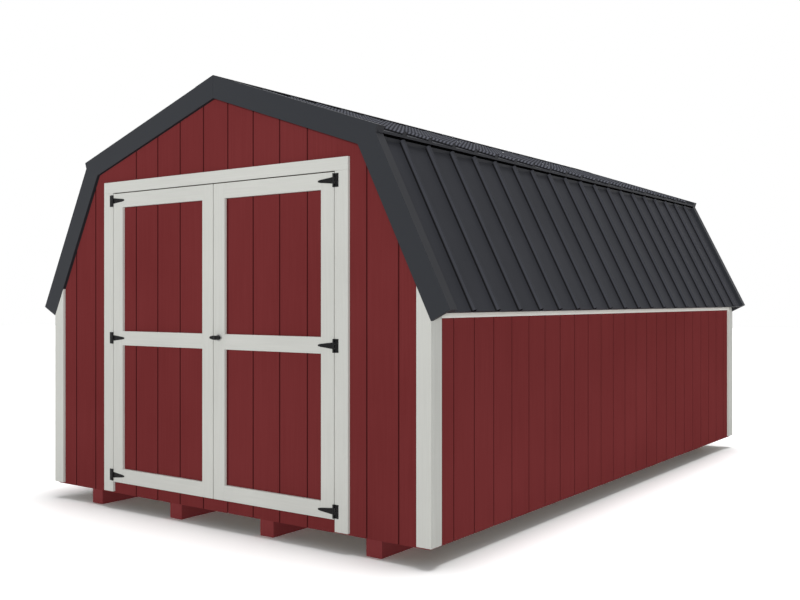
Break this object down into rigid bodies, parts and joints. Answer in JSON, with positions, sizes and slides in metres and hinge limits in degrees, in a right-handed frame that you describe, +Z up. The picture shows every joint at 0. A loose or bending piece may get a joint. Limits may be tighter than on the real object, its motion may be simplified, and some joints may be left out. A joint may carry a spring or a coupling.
{
  "type": "gambrel barn",
  "caption": "Small gambrel-roofed timber barn on skids with double swing doors, grooved siding, white trim boards and a ribbed metal roof.",
  "frame": {"origin": "middle of the footprint at ground level, under the skids", "axes": "+Z up, +Y from the doors to the back wall, +X to the right seen from the front"},
  "size_m": [3.2862, 4.958, 2.6506],
  "materials": {
    "red_paint": "satin barn-red paint on grooved siding",
    "white_paint": "satin white paint on boards",
    "roof_metal": "charcoal enamel on roll-formed steel",
    "black_hardware": "black powder coat",
    "framing_wood": "planed softwood, bare",
    "sheet_wood": "bare sheathing board"
  },
  "bodies": {
    "barn": {"back_frame": "framing_wood", "back_rake_lower": "roof_metal", "back_rake_upper": "roof_metal", "back_siding": "red_paint", "casing_hinge_leaves": "black_hardware", "corner_boards_back": "white_paint", "corner_boards_front": "white_paint", "door_header_casing": "white_paint", "door_jamb_casings": "white_paint", "eave_drip_edges": "roof_metal", "floor_deck": "sheet_wood", "floor_joists": "framing_wood", "floor_rims": "framing_wood", "frieze_boards": "white_paint", "front_frame_gable": "framing_wood", "front_frame_left": "framing_wood", "front_frame_right": "framing_wood", "front_rake_lower": "roof_metal", "front_rake_upper": "roof_metal", "front_siding_gable": "red_paint", "front_siding_left": "red_paint", "front_siding_right": "red_paint", "front_siding_sill": "red_paint", "knee_flashings": "roof_metal", "left_siding": "red_paint", "lower_rafters": "framing_wood", "lower_sheathing": "sheet_wood", "ridge_board": "framing_wood", "ridge_cap": "roof_metal", "right_siding": "red_paint", "roof_gussets": "sheet_wood", "roof_metal_lower_left": "roof_metal", "roof_metal_lower_right": "roof_metal", "roof_metal_upper_left": "roof_metal", "roof_metal_upper_right": "roof_metal", "side_wall_plates": "framing_wood", "side_wall_studs": "framing_wood", "skids": "red_paint", "upper_rafters": "framing_wood", "upper_sheathing": "sheet_wood"},
    "left_door": {"left_door_frame": "framing_wood", "left_door_panel": "red_paint", "left_door_straps": "black_hardware", "left_door_trim": "white_paint"},
    "right_door": {"right_door_escutcheon": "black_hardware", "right_door_frame": "framing_wood", "right_door_panel": "red_paint", "right_door_straps": "black_hardware", "right_door_trim": "white_paint"},
    "handle": {"t_handle": "black_hardware"}
  },
  "joints": [
    {"name": "left_door_hinge", "type": "hinge", "parent": "barn", "child": "left_door", "pos_m": [-0.9144, -2.444, 1.0945], "axis": [0, 0, -1], "range_deg": [0, 170]},
    {"name": "right_door_hinge", "type": "hinge", "parent": "barn", "child": "right_door", "pos_m": [0.9144, -2.444, 1.0945], "axis": [0, 0, 1], "range_deg": [0, 170]},
    {"name": "handle_turn", "type": "hinge", "parent": "right_door", "child": "handle", "pos_m": [0.048, -2.469, 1.119], "axis": [0, 1, 0], "range_deg": [0, 90]}
  ]
}
